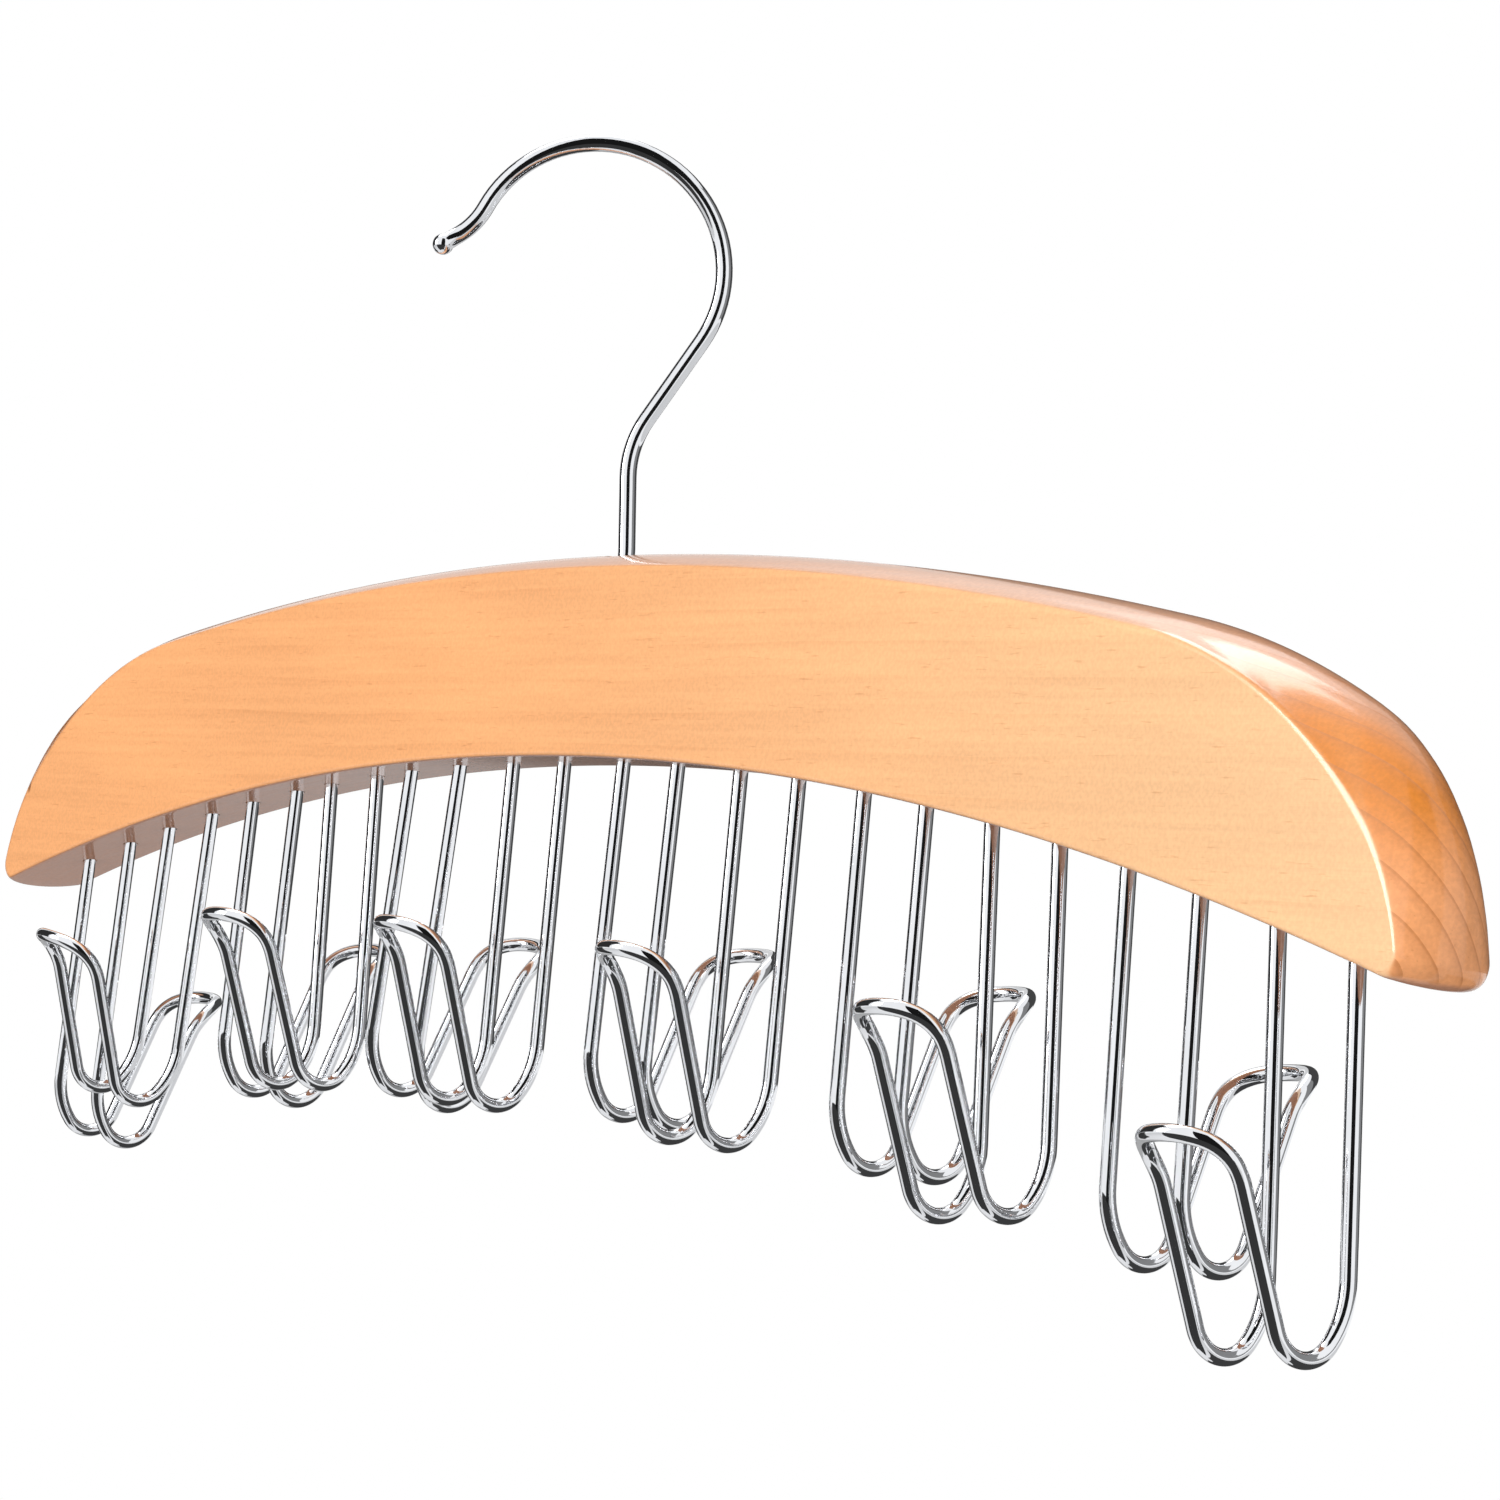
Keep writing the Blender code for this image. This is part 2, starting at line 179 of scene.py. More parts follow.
class WoodFinish(PropertyGroup):
    left_colour: colour_property("Left colour", (0.97, 0.445, 0.176), "Wood at the bar's left end")
    right_colour: colour_property("Right colour", (0.96, 0.565, 0.285), "Wood at the bar's right end")
    line_colour: colour_property("Line colour", (0.55, 0.20, 0.06), "Late wood in the growth lines")
    line_strength: share_property("Line strength", 0.14, "How strongly the growth lines show")
    line_spacing: length_property("Line spacing", 0.0032, "Width of one year's growth")
    pith_distance: length_property("Pith distance", 0.19, "From the bar's middle to the log's heart")
    pith_turn: angle_property("Pith turn", 33, "Slope of the growth layers across the bar")
    fibre_strength: share_property("Fibre strength", 0.05, "Contrast of the fine fibres")
    end_colour: colour_property("End colour", (0.9, 0.38, 0.15), "End grain, which takes up more varnish")
    shoulder_colour: colour_property("Shoulder colour", (0.7, 0.22, 0.018), "End grain near the top")
    # Painted shade: the crown colour darkens the top, where less light falls; it is not thicker varnish
    crown_shade_colour: colour_property("Crown colour", (0.6, 0.295, 0.165), "Top, where the varnish is thicker")
    # Painted shade: the underside colour darkens the underside, where less light reaches; it is not thinner
    # varnish
    underside_shade_colour: colour_property("Underside colour", (0.5, 0.23, 0.13), "Thinly varnished underside")
    varnish: share_property("Varnish", 1.0, "Clear coat over the wood")
    varnish_roughness: share_property("Varnish roughness", 0.15, "Softness of the coat's reflections")
    knot_radius: length_property("Knot radius", 0.0007, "Small dark knot at the left end")


class MetalFinish(PropertyGroup):
    chrome_colour: colour_property("Chrome", (0.845, 0.86, 0.89), "Plated wire")
    chrome_roughness: share_property("Chrome roughness", 0.045, "Softness of the plating")
    steel_colour: colour_property("Steel", (0.55, 0.55, 0.56), "Turned bush")
    steel_roughness: share_property("Steel roughness", 0.32, "Softness of the turned steel")


class StudioSettings(PropertyGroup):
    azimuth: angle_property("Azimuth", 55.7, "Camera's place round the object")
    elevation: angle_property("Elevation", -3.01, "Camera's height")
    roll: angle_property("Roll", 5.41, "Camera's turn about its view")
    distance: length_property("Distance", 0.7853, "From the camera to the plane that it looks at")
    aim_right: length_property("Aim right", 0.02338, "Middle of the view, right of the bar's underside")
    aim_up: length_property("Aim up", 0.00182, "Middle of the view, above the bar's underside")
    lens: FloatProperty(
        name="Lens", default=115.6, description="Focal length", subtype="DISTANCE_CAMERA", unit="CAMERA"
    )
    floor_drop: length_property("Floor drop", 1.0, "From the lowest belt hook to the floor")
    floor_radius: length_property("Floor radius", 6.0, "Half of the floor's width")
    floor_colour: colour_property("Floor colour", (0.93, 0.93, 0.93), "Pale floor")
    surround: share_property("Surround", 0.72, "Light that reaches the object from all sides")
    key_power: FloatProperty(
        name="Key power", default=17.0, description="Of the soft key light", subtype="POWER", unit="POWER"
    )
    glow: FloatProperty(
        name="Glow", default=7.0, description="Brightness of the strips that the varnish mirrors"
    )
    wing: FloatProperty(name="Wing", default=2.2, description="Brightness of the soft wing beside them")


class BeltHangerSettings(PropertyGroup):
    bar: group_property(BarSizes, "Bar", "Sizes of the wooden bar")
    swivel_hook: group_property(SwivelHookSizes, "Swivel hook", "Sizes of the hook that the bar hangs on")
    belt_hook: group_property(BeltHookSizes, "Belt hooks", "Sizes of one of the hairpins under the bar")
    wood: group_property(WoodFinish, "Wood", "Colours and figure of the varnished wood")
    metal: group_property(MetalFinish, "Metal", "Colours and polish of the wires and the bush")
    studio: group_property(StudioSettings, "Studio", "Camera, floor and lights")


def grouped(context):
    """The hanger's settings, which the scene keeps."""
    return context.scene.belt_hanger


# Objects and meshes

def mesh_of(name, solid):
    """The mesh of a bmesh, which is freed after it."""
    mesh = bpy.data.meshes.new(name)
    solid.to_mesh(mesh)
    solid.free()
    return mesh


def in_scene(name, data):
    """A new object of the scene with a mesh, a light or a camera as its data."""
    made = bpy.data.objects.new(name, data)
    bpy.context.scene.collection.objects.link(made)
    return made


def verts_in(geometry):
    """The vertices among an operator's results."""
    return [part for part in geometry if isinstance(part, bmesh.types.BMVert)]


def mark_creases(solid):
    """Makes the edges sharp that have to shade as corners."""
    for edge in solid.edges:
        if edge.calc_face_angle(0) > CREASE_ANGLE:
            edge.smooth = False


def finished_mesh(name, solid, material, place=None):
    """The mesh of a closed bmesh, smooth but for its creases, with its faces pointing out."""
    bmesh.ops.recalc_face_normals(solid, faces=solid.faces)
    for face in solid.faces:
        face.smooth = True
    mark_creases(solid)
    if place:
        bmesh.ops.transform(solid, matrix=place, verts=solid.verts)
    mesh = mesh_of(name, solid)
    mesh.materials.append(material)
    return mesh


def add_piece(name, mesh, body, node):
    """A piece that rides on a body and stands for a CAD node, which it hides. Its mesh brings its own
    material.
    """
    piece = in_scene(name, mesh)
    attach(piece, body)
    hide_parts(node)
    return piece


# Wires

def ball_setback(wire, ball):
    """How far the middle of a ball lies past the place where it has the wire's width."""
    return sqrt((ball / 2) ** 2 - (wire / 2) ** 2)


def ring_in(geometry):
    """The edges of an extrusion or a spin that lie in its last ring."""
    verts = set(verts_in(geometry))
    edges = [part for part in geometry if isinstance(part, bmesh.types.BMEdge)]
    return [edge for edge in edges if set(edge.verts) <= verts]


def put_in_order(solid):
    """Sorts the faces by their vertices, because extrusions and spins leave them in no fixed order."""
    solid.verts.index_update()
    ordered = sorted(solid.faces, key=lambda face: sorted(vert.index for vert in face.verts))
    for number, face in enumerate(ordered):
        face.index = number
    solid.faces.sort()


class Wire:
    """A round wire in the X-Z plane, drawn out of its first ring by straight runs and bends.

    Its heading is measured from +Z towards +X.
    """

    def __init__(self, solid, diameter, sides, place, heading=0.0):
        self.solid = solid
        self.place = place
        self.heading = heading
        turned = Matrix.Translation(place) @ Matrix.Rotation(heading, 4, "Y")
        made = bmesh.ops.create_circle(solid, segments=sides, radius=diameter / 2, matrix=turned)
        self.ring = list(dict.fromkeys(edge for vert in made["verts"] for edge in vert.link_edges))
        self.close()

    def close(self):
        """A flat end on the wire."""
        bmesh.ops.edgeloop_fill(self.solid, edges=self.ring)

    def forward(self):
        """The way that the wire goes on, as a vector of length 1."""
        return Vector((sin(self.heading), 0, cos(self.heading)))

    def straight(self, length, widening=1.0):
        """A straight run whose far ring is wider by a factor."""
        made = bmesh.ops.extrude_edge_only(self.solid, edges=self.ring)["geom"]
        run = length * self.forward()
        self.place = self.place + run
        verts = verts_in(made)
        bmesh.ops.translate(self.solid, vec=run, verts=verts)
        if widening != 1:
            about = Matrix.Translation(-self.place)
            bmesh.ops.scale(self.solid, vec=(widening,) * 3, space=about, verts=verts)
        self.ring = ring_in(made)

    def bend(self, radius, turn, step):
        """A bend that adds a turn to the heading, with facets of a step of it at most."""
        side = Vector((cos(self.heading), 0, -sin(self.heading))) * (radius if turn > 0 else -radius)
        centre = self.place + side
        steps = max(1, ceil(abs(turn) / step))
        made = bmesh.ops.spin(
            self.solid,
            geom=self.ring,
            cent=centre,
            axis=Y_AXIS,
            angle=turn,
            steps=steps,
            use_merge=False,
            use_duplicate=False,
        )["geom_last"]
        self.place = centre + Matrix.Rotation(turn, 3, "Y") @ -side
        self.heading += turn
        self.ring = ring_in(made)

    def round_end(self, diameter, ball, steps):
        """A ball that starts at the wire's own width and goes on to its far pole, where it is closed."""
        middle = self.place + ball_setback(diameter, ball) * self.forward()
        start = pi - asin(diameter / ball)
        width = diameter
        for number in range(1, steps):
            swing = start * (1 - number / steps)
            reach = (middle + ball / 2 * cos(swing) * self.forward() - self.place).length
            self.straight(reach, ball * sin(swing) / width)
            width = ball * sin(swing)
        self.close()


def swivel_hook_mesh(sizes, material):
    """The hook from the chamfered head on its foot, inside the bar, to the ball at its tip."""
    solid = bmesh.new()
    chamfer = sizes.head_height - sizes.head_rim
    foot = sizes.head - 2 * chamfer
    wire = Wire(solid, foot, sizes.sides, Vector((0, 0, SHANK_FOOT)))
    wire.straight(chamfer, sizes.head / foot)
    wire.straight(sizes.head_rim)
    wire.straight(0, sizes.wire / sizes.head)
    wire.straight(BAR_HIGH.z - SHANK_FOOT - sizes.head_height)
    wire.bend(sizes.neck_radius, -sizes.shank_lean, sizes.bend_step)
    wire.straight(sizes.neck_length)
    wire.bend(sizes.neck_radius, sizes.neck_turn, sizes.bend_step)
    wire.straight(sizes.rise_length)
    wire.bend(sizes.ring_radius, -sizes.ring_turn, sizes.bend_step)
    wire.bend(sizes.tip_radius, sizes.tip_turn, sizes.bend_step)
    wire.straight(sizes.tip_length - ball_setback(sizes.wire, sizes.tip_ball))
    wire.round_end(sizes.wire, sizes.tip_ball, sizes.tip_steps)
    put_in_order(solid)
    return finished_mesh("swivel_hook", solid, material, Matrix.Rotation(sizes.facing, 4, "Z"))


def belt_hook_moves(sizes):
    """The side view of a belt hook as lengths and turns, from the top of its legs to the hairpin's rim."""
    lip = sizes.lip_length + sizes.wire / 2
    return [
        (sizes.leg_in_wood + sizes.leg_length, 0),
        (sizes.heel_radius * sizes.heel_turn, sizes.heel_turn),
        (sizes.toe_radius * sizes.toe_turn, sizes.toe_turn),
        (sizes.arm_length, 0),
        (lip, -lip / sizes.lip_radius),
    ]


def side_view(moves, distance):
    """The place (out, down) and the turn that a belt hook's wire has reached at a distance from its top."""
    out, down, heading = 0, 0, 0
    for length, turn in moves:
        part = min(distance, length)
        swing = turn * part / length
        chord = 2 * part / swing * sin(swing / 2) if swing else part
        out += chord * sin(heading + swing / 2)
        down += chord * cos(heading + swing / 2)
        heading += swing
        distance -= part
        if distance <= 0:
            break
    return out, down, heading


def belt_hook_mesh(sizes, pitch, material, name, place):
    """A flat hairpin of round wire, which is then bent to the hook's side view and put in its place."""
    moves = belt_hook_moves(sizes)
    turn_start = sum(length for length, _ in moves) - sizes.wire / 2 - pitch / 2
    # The rings of both legs stand close together where the flat wire is bent later
    lengths = []
    for length, turn in moves:
        steps = max(1, ceil(abs(turn) / sizes.bend_step))
        lengths += [length / steps] * steps
    run = []
    while lengths and sum(run) + lengths[0] < turn_start:
        run.append(lengths.pop(0))
    run.append(turn_start - sum(run))

    solid = bmesh.new()
    wire = Wire(solid, sizes.wire, sizes.sides, Vector((-pitch / 2, 0, 0)), pi)
    for length in run:
        wire.straight(length)
    wire.bend(pitch / 2, -pi, sizes.bend_step)
    for length in reversed(run):
        wire.straight(length)
    wire.close()
    for vert in solid.verts:
        out, down, heading = side_view(moves, max(0, -vert.co.z))
        depth = vert.co.y
        vert.co.y = out + depth * cos(heading)
        vert.co.z = -down + depth * sin(heading)
    put_in_order(solid)
    return finished_mesh(name, solid, material, place)


def leg_tops(node):
    """The middles of the upper ends of a belt hook's two legs, -X first."""
    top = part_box(node)[1].z
    reach = 2 * grouped(bpy.context).belt_hook.wire
    ends = [vert.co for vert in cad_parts[node].data.vertices if top - vert.co.z < reach]
    middle = (min(end.x for end in ends) + max(end.x for end in ends)) / 2
    tops = []
    for side in (-1, 1):
        leg = [end for end in ends if side * (end.x - middle) > 0]
        # A CAD node's triangles are loose, so each of its corners is there more than once
        corners = {tuple(round(value, PLACE_DIGITS) for value in end) for end in leg}
        tops.append(sum((Vector(corner) for corner in corners), Vector()) / len(corners))
    return tops


def belt_hook_place(node):
    """The matrix that puts an upright belt hook in its place under the bar, and the pitch of its legs."""
    first, second = leg_tops(node)
    facing = 1 if node.endswith("back") else -1
    across = (second - first).normalized()
    up = Vector((-across.z, 0, across.x))
    place = Matrix((facing * across, facing * Y_AXIS, up)).transposed().to_4x4()
    return Matrix.Translation((first + second) / 2) @ place, (second - first).length


# Wooden bar

def bearing(place, centre):
    """The angle of a place about a centre, from +Z towards +X."""
    return atan2(place.x - centre.x, place.z - centre.z)


def crossing(first, first_radius, second, second_radius):
    """Where two circles in the X-Z plane meet, on the left of the way from the first to the second."""
    apart = second - first
    reach = (apart.length_squared + first_radius**2 - second_radius**2) / (2 * apart.length)
    rise = sqrt(first_radius**2 - reach**2)
    unit = apart.normalized()
    return first + reach * unit + rise * unit.cross(Y_AXIS)


def outline_arcs(sizes, share):
    """The right half of the bar's outline, from the middle of the top to the middle of the underside.

    It is given as its start, and arcs as centre, end and steps. The share is that of the crown's full swell.
    """
    base = BAR_HIGH.z - sizes.height - sizes.top_swell
    crest = Vector((0, 0, base + sizes.height + share * sizes.top_swell))
    shoulder_radius = sizes.shoulder_radius + share * sizes.shoulder_flattening
    top_centre = crest - sizes.top_radius * Z_AXIS
    end_x = sizes.half_length + share * sizes.end_swell - sizes.end_radius
    reach = sizes.top_radius - sizes.end_radius - sizes.end_drop + share * sizes.end_lift
    end_centre = top_centre + Vector((end_x, 0, sqrt(reach**2 - end_x**2)))
    shoulder_centre = crossing(
        top_centre, sizes.top_radius - shoulder_radius, end_centre, shoulder_radius - sizes.end_radius
    )
    low_centre = Vector((0, 0, base - sizes.underside_radius))
    corner = crossing(
        end_centre,
        sizes.end_radius - sizes.corner_radius,
        low_centre,
        sizes.underside_radius + sizes.corner_radius,
    )
    top_end = top_centre + sizes.top_radius * (shoulder_centre - top_centre).normalized()
    end_top = shoulder_centre + shoulder_radius * (end_centre - shoulder_centre).normalized()
    corner_top = end_centre + sizes.end_radius * (corner - end_centre).normalized()
    corner_foot = low_centre + sizes.underside_radius * (corner - low_centre).normalized()
    arcs = [
        (top_centre, top_end, sizes.top_steps),
        (shoulder_centre, end_top, sizes.shoulder_steps),
        (end_centre, corner_top, sizes.end_steps),
        (corner, corner_foot, sizes.corner_steps),
        (low_centre, Vector((0, 0, base)), sizes.top_steps),
    ]
    return crest, arcs


def add_outline(solid, sizes, share, depth):
    """The edges of one closed outline of the bar, at a depth from its middle plane."""
    before = set(solid.edges)
    start, arcs = outline_arcs(sizes, share)
    vert = solid.verts.new(start + depth * Y_AXIS)
    place = start
    for centre, end, steps in arcs:
        swing = bearing(end, centre) - bearing(place, centre)
        swing -= 2 * pi * round(swing / (2 * pi))
        made = bmesh.ops.spin(
            solid,
            geom=[vert],
            cent=centre,
            axis=Y_AXIS,
            angle=swing,
            steps=steps,
            use_merge=False,
            use_duplicate=False,
        )
        vert = verts_in(made["geom_last"])[0]
        place = end
    edges = [edge for edge in solid.edges if edge not in before]
    half = list(dict.fromkeys(vert for edge in edges for vert in edge.verts))
    bmesh.ops.mirror(solid, geom=half + edges, matrix=Matrix(), merge_dist=SAME_PLACE, axis="X")
    return [edge for edge in solid.edges if edge not in before]


def swell_share(sizes, depth):
    """The share of the full swell at a depth from the bar's middle plane."""
    return 1 - (2 * depth / sizes.thickness) ** 2


def bar_mesh(sizes, material):
    """The bar without its holes: outlines from the front face to the back, bridged and closed."""
    solid = bmesh.new()
    loops = []
    for step in range(sizes.crown_steps + 1):
        depth = sizes.thickness * (step / sizes.crown_steps - 1 / 2)
        loops.append(add_outline(solid, sizes, swell_share(sizes, depth), depth))
    for near, far in zip(loops, loops[1:]):
        bmesh.ops.bridge_loops(solid, edges=near + far)
    for loop in (loops[0], loops[-1]):
        bmesh.ops.edgeloop_fill(solid, edges=loop)
    bmesh.ops.recalc_face_normals(solid, faces=solid.faces)
    bmesh.ops.bevel(
        solid,
        geom=loops[0] + loops[-1],
        offset=sizes.arris_radius,
        offset_type="OFFSET",
        affect="EDGES",
        segments=sizes.arris_steps,
        profile=0.5,
        material=-1,
    )
    # Both faces shade flat up to their arrises
    flat = [face for face in solid.faces if abs(face.normal.y) > 1 - SAME_PLACE]
    for face in flat:
        for edge in face.edges:
            edge.smooth = False
    return finished_mesh("varnished_bar", solid, material)


def add_plug(solid, place, radius, depth, sides):
    """A closed cylinder that reaches as far above its place as below it."""
    bmesh.ops.create_cone(
        solid, cap_ends=True, segments=sides, radius1=radius, radius2=radius, depth=2 * depth, matrix=place
    )


def add_hole_cutter(sizes):
    """One mesh object with a plug for each hole of the bar."""
    solid = bmesh.new()
    sides = grouped(bpy.context).belt_hook.sides
    lowered = Matrix.Translation((0, 0, -sizes.hole_depth))
    for node in BELT_HOOKS:
        place, pitch = belt_hook_place(node)
        for side in (-1, 1):
            leg = place @ Matrix.Translation((side * pitch / 2, 0, 0)) @ lowered
            add_plug(solid, leg, sizes.hole_radius, sizes.hole_depth, sides)
    top = Matrix.Translation((0, 0, BAR_HIGH.z))
    add_plug(solid, top, sizes.bush_hole_radius, sizes.hole_depth, 2 * sides)
    return in_scene("hole_plugs", mesh_of("hole_plugs", solid))


def cut_holes(piece, cutter):
    """Takes the cutter's shape out of the piece's own mesh, and the cutter out of the scene."""
    cut = piece.modifiers.new("holes", "BOOLEAN")
    cut.operation = "DIFFERENCE"
    cut.object = cutter
    graph = bpy.context.evaluated_depsgraph_get()
    solid = bmesh.new()
    solid.from_object(piece, graph)
    piece.modifiers.remove(cut)
    bpy.data.objects.remove(cutter, do_unlink=True)
    mark_creases(solid)
    solid.to_mesh(piece.data)
    solid.free()


# Materials

# The Mix node has sockets for numbers, vectors and colours. These are its share and its two colours.
MIX_SOCKETS = (0, 6, 7)
MIX_RESULT = 2


def opaque(colour):
    """A colour with the alpha that a node's socket needs."""
    return (*colour, 1)


class Shader:
    """A material's node tree, with a short way to add and join nodes."""

    def __init__(self, name):
        self.material = bpy.data.materials.new(name)
        self.material.use_nodes = True
        self.tree = self.material.node_tree
        self.surface = self.tree.nodes["Principled BSDF"]
        self.coordinates = self.node("ShaderNodeTexCoord").outputs

    def node(self, kind, settings=None, **sockets):
        """A node of a kind with some of its settings, and with its sockets as in fill."""
        made = self.tree.nodes.new(kind)
        for name, value in (settings or {}).items():
            setattr(made, name, value)
        self.fill(made, **sockets)
        return made

    def fill(self, node, **sockets):
        """Sockets are named with _ for a space, and take a value or another node's output."""
        for name, value in sockets.items():
            self.put(node.inputs[name.replace("_", " ")], value)

    def put(self, socket, value):
        """Joins another node's output to a socket, or sets a value on it."""
        if isinstance(value, bpy.types.NodeSocket):
            self.tree.links.new(value, socket)
        else:
            socket.default_value = value

    def stretched(self, scale, location=(0, 0, 0)):
        """The object's own coordinates, scaled and then moved."""
        places = self.coordinates["Object"]
        return self.node("ShaderNodeMapping", Vector=places, Scale=scale, Location=location).outputs["Vector"]

    def noise(self, scale, detail=2.0, roughness=0.5, distortion=0.0):
        """Noise with a scale for each of the object's axes."""
        made = self.node(
            "ShaderNodeTexNoise",
            Vector=self.stretched(scale),
            Scale=1.0,
            Detail=detail,
            Roughness=roughness,
            Distortion=distortion,
        )
        return made.outputs["Fac"]

    def ranged(self, value, low, high, at_low=0.0, at_high=1.0):
        """Goes smoothly from one number where the value is low or less to another where it is high."""
        made = self.node(
            "ShaderNodeMapRange",
            {"interpolation_type": "SMOOTHSTEP"},
            Value=value,
            From_Min=low,
            From_Max=high,
            To_Min=at_low,
            To_Max=at_high,
        )
        return made.outputs["Result"]

    def maths(self, operation, *values):
        """The result of one calculation with values or outputs."""
        made = self.node("ShaderNodeMath", {"operation": operation})
        for socket, value in zip(made.inputs, values):
            self.put(socket, value)
        return made.outputs[0]

    def mixed(self, share, first, second, blend="MIX"):
        """Two colours mixed by a share of the second."""
        made = self.node("ShaderNodeMix", {"data_type": "RGBA", "blend_type": blend, "clamp_factor": True})
        for number, value in zip(MIX_SOCKETS, (share, first, second)):
            self.put(made.inputs[number], value)
        return made.outputs[MIX_RESULT]

    def shaded(self, colour, shade):
        """A colour times a shade, where 1 leaves it as it is."""
        return self.mixed(1.0, colour, shade, "MULTIPLY")

    def bumped(self, height, distance, strength):
        """The surface's normal, tilted by a height."""
        made = self.node("ShaderNodeBump", Height=height, Distance=distance, Strength=strength)
        return made.outputs["Normal"]

    def dressed(self, **sockets):
        """The finished material, with the sockets of its surface as in fill."""
        self.fill(self.surface, **sockets)
        return self.material


# Wave textures repeat each 2 pi / 20 of their scaled coordinate
WAVE_PERIOD = pi / 10

# Scales of the wood's patterns: along the bar, through it and up it
LAYER_SCALE = (0.2, 1, 1)
FIBRE_SCALE = (22, 950, 950)
PORE_SCALE = (210, 2300, 2300)
SPECKLE_SCALE = (1600, 1600, 1600)
BLOTCH_SCALE = (9, 40, 40)
PATCH_SCALE = (14, 60, 60)
# Inputs of the wave texture that make the growth lines wander
LAYER_WANDER = {"Distortion": 2.2, "Detail": 1.5, "Detail_Scale": 0.55, "Detail_Roughness": 0.45}
# Low and high of a pattern, and what it gives there where that isn't 0 and 1. A year's wood darkens slowly
# and then sharply.
SLOW_DARKENING = (0.45, 0.93, 0, 0.45)
SHARP_DARKENING = (0.86, 0.96, 0, 0.55)
BLOTCH_SHADE = (0.3, 0.7, 0.93, 1.04)
SPECKLE_SHADE = (0.3, 0.7, 0.955, 1.045)
FIBRE_SPAN = (0.25, 0.75)
FIBRE_ROUGHNESS = (0.3, 0.7, 0.42, 0.55)
PATCH_LINES = (0.40, 0.62, 0.15, 1)
PORE_SPAN = (0.68, 0.80)
# The same for how far the surface faces +X or -X, up and down, and for the height of its end grain
END_FACING = (0.06, 0.36)
# The up and down facings place the painted shade of the crown and of the underside
CROWN_FACING = (0.5, 0.85, 0, 0.85)
UNDERSIDE_FACING = (-0.9, -0.6, 1, 0)
SHOULDER_HEIGHTS = (BAR_LOW.z + 0.010, BAR_LOW.z + 0.027)
# The right end's colour comes in late along the bar
RIGHT_COLOUR_POWER = 3.0
# Growth lines show this much more on the end grain
END_LINE_GAIN = 4.5
PORE_DARKNESS = 0.35
# Distance and strength of a bump
FIBRE_BUMP = (0.0002, 0.25)
VARNISH_BUMP = (0.0001, 0.12)
WOOD_SPECULAR = 0.2
VARNISH_IOR = 1.5

KNOT_PLACE = Vector((BAR_LOW.x + 0.0120, BAR_LOW.y, BAR_LOW.z + 0.0192))
# Below 1 the knot is higher than it is wide
KNOT_SQUEEZE = 0.45
# Where it fades, as shares of its radius
KNOT_EDGE = (0.5, 1.2)
# How far it covers the wood, and how bright it is beside the growth lines
KNOT_COVER = 0.85
KNOT_SHADE = 0.5


def growth_lines(shader, finish):
    """How dark the wood is in its year, from 0 to 1. The layers run along the bar, round a far pith."""
    turn = finish.pith_turn
    pith = (BAR_LOW + BAR_HIGH) / 2 - finish.pith_distance * Vector((0, cos(turn), sin(turn)))
    wave = shader.node(
        "ShaderNodeTexWave",
        {"wave_type": "RINGS", "rings_direction": "X", "wave_profile": "SAW"},
        Vector=shader.stretched(LAYER_SCALE, (0, -pith.y, -pith.z)),
        Scale=WAVE_PERIOD / finish.line_spacing,
        **LAYER_WANDER,
    )
    year = wave.outputs["Fac"]
    return shader.maths("ADD", shader.ranged(year, *SLOW_DARKENING), shader.ranged(year, *SHARP_DARKENING))


def stained_and_shaded(shader, finish, facing, end_grain, underside):
    """The broad colours: left to right, in soft blotches and on the end grain, with painted shade on the
    crown and the underside.
    """
    place = shader.node("ShaderNodeSeparateXYZ", Vector=shader.coordinates["Object"]).outputs
    across = shader.maths("POWER", shader.ranged(place["X"], BAR_LOW.x, BAR_HIGH.x), RIGHT_COLOUR_POWER)
    colour = shader.mixed(across, opaque(finish.left_colour), opaque(finish.right_colour))
    blotch = shader.noise(BLOTCH_SCALE, detail=3.0, roughness=0.55, distortion=0.4)
    colour = shader.shaded(colour, shader.ranged(blotch, *BLOTCH_SHADE))

    height = shader.ranged(place["Z"], *SHOULDER_HEIGHTS)
    end = shader.mixed(height, opaque(finish.end_colour), opaque(finish.shoulder_colour))
    colour = shader.mixed(end_grain, colour, end)
    # Painted shade: surfaces that face up take the darker crown colour
    above = shader.ranged(facing["Z"], *CROWN_FACING)
    colour = shader.mixed(above, colour, opaque(finish.crown_shade_colour))
    # Painted shade: surfaces that face down take the darker underside colour
    return shader.mixed(underside, colour, opaque(finish.underside_shade_colour))


def lined(shader, finish, colour, end_grain):
    """The colour with growth lines, in patches on the long sides and all over the end grain."""
    patches = shader.ranged(shader.noise(PATCH_SCALE), *PATCH_LINES)
    shown = shader.maths("MAXIMUM", patches, end_grain)
    shown = shader.maths("MULTIPLY", shown, shader.ranged(end_grain, 0, 1, 1, END_LINE_GAIN))
    shown = shader.maths("MULTIPLY", shown, finish.line_strength)
    dark = shader.maths("MULTIPLY", growth_lines(shader, finish), shown)
    return shader.mixed(dark, colour, opaque(finish.line_colour))


def grained(shader, finish, colour, fibre):
    """The colour with fine fibres, speckles and pores."""
    contrast = finish.fibre_strength
    colour = shader.shaded(colour, shader.ranged(fibre, *FIBRE_SPAN, 1 - contrast, 1 + contrast / 2))
    colour = shader.shaded(colour, shader.ranged(shader.noise(SPECKLE_SCALE, detail=1.0), *SPECKLE_SHADE))
    pores = shader.ranged(shader.noise(PORE_SCALE, detail=1.0), *PORE_SPAN)
    dark = shader.maths("MULTIPLY", pores, PORE_DARKNESS)
    return shader.mixed(dark, colour, opaque(finish.line_colour))


